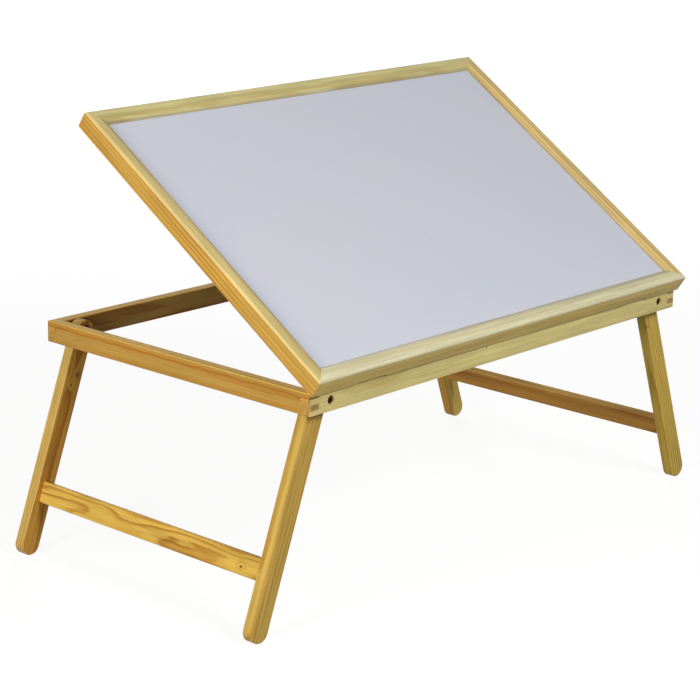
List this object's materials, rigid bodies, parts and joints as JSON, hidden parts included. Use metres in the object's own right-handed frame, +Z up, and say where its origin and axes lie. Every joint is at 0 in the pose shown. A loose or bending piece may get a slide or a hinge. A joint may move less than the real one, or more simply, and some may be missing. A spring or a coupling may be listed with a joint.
{
  "type": "folding bed tray table",
  "caption": "Folding bed tray table: pine frame on splayed folding legs, with a hinged white-faced tray tilted up on a prop that stands on a notched rail.",
  "frame": {"origin": "on the ground, under the middle of the bounding box, in the pose of the picture: legs open and tray tilted", "axes": "+X along the long front rail, to the right as the user sits; +Y from the user's side, where the tray is hinged, to the back; +Z up"},
  "size_m": [0.7232, 0.3904, 0.4681],
  "materials": {
    "pine": "clear satin lacquer on planed pine, long grain, a few small knots",
    "dowel_wood": "turned birch dowel, unfinished",
    "white_board": "hardboard with a smooth cool white melamine face, satin",
    "hinge_brass": "brass-plated steel, slightly dulled",
    "steel": "zinc-plated steel, darkened"
  },
  "bodies": {
    "base": {"base_front_rail": "pine", "base_back_rail": "pine", "base_left_rail": "pine", "base_right_rail": "pine", "centre_rail": "pine", "centre_rail_dowels": "dowel_wood", "front_left_pivot_bolt": "steel", "front_right_pivot_bolt": "steel", "back_left_pivot_bolt": "steel", "back_right_pivot_bolt": "steel", "pivot_spacer_washers": "steel", "pivot_nut_washers": "steel", "pivot_nuts": "steel", "left_hinge_base_leaf": "hinge_brass", "right_hinge_base_leaf": "hinge_brass", "left_hinge_pin": "hinge_brass", "right_hinge_pin": "hinge_brass", "hinge_base_screws": "hinge_brass"},
    "left_legs": {"left_front_leg": "pine", "left_back_leg": "pine", "left_stretcher": "pine", "left_stretcher_dowels": "dowel_wood"},
    "right_legs": {"right_front_leg": "pine", "right_back_leg": "pine", "right_stretcher": "pine", "right_stretcher_dowels": "dowel_wood"},
    "tray": {"tray_front_moulding": "pine", "tray_back_moulding": "pine", "tray_left_moulding": "pine", "tray_right_moulding": "pine", "tray_panel": "white_board", "tray_corner_staples": "steel", "tray_bearer": "pine", "tray_bearer_dowels": "dowel_wood", "left_hinge_tray_leaf": "hinge_brass", "right_hinge_tray_leaf": "hinge_brass", "hinge_tray_screws": "hinge_brass", "prop_pivot_bolt": "steel", "prop_pivot_nut": "steel"},
    "prop": {"prop_left_arm": "pine", "prop_right_arm": "pine", "prop_foot_dowel": "dowel_wood"}
  },
  "joints": [
    {"name": "left_legs_fold", "type": "hinge", "parent": "base", "child": "left_legs", "pos_m": [-0.27113, -0.1615, 0.22902], "axis": [0, -1, 0], "range_deg": [0, 110]},
    {"name": "right_legs_fold", "type": "hinge", "parent": "base", "child": "right_legs", "pos_m": [0.27113, -0.1615, 0.22902], "axis": [0, 1, 0], "range_deg": [0, 110]},
    {"name": "tray_tilt", "type": "hinge", "parent": "base", "child": "tray", "pos_m": [0, -0.18185, 0.24047], "axis": [1, 0, 0], "range_deg": [-33.4, 0]},
    {"name": "prop_swing", "type": "hinge", "parent": "tray", "child": "prop", "pos_m": [0, -0.04296, 0.33912], "axis": [1, 0, 0], "range_deg": [0, 66.8]}
  ],
  "couplings": [
    {"joint": "prop_swing", "follows": "tray_tilt", "ratio": -2}
  ]
}
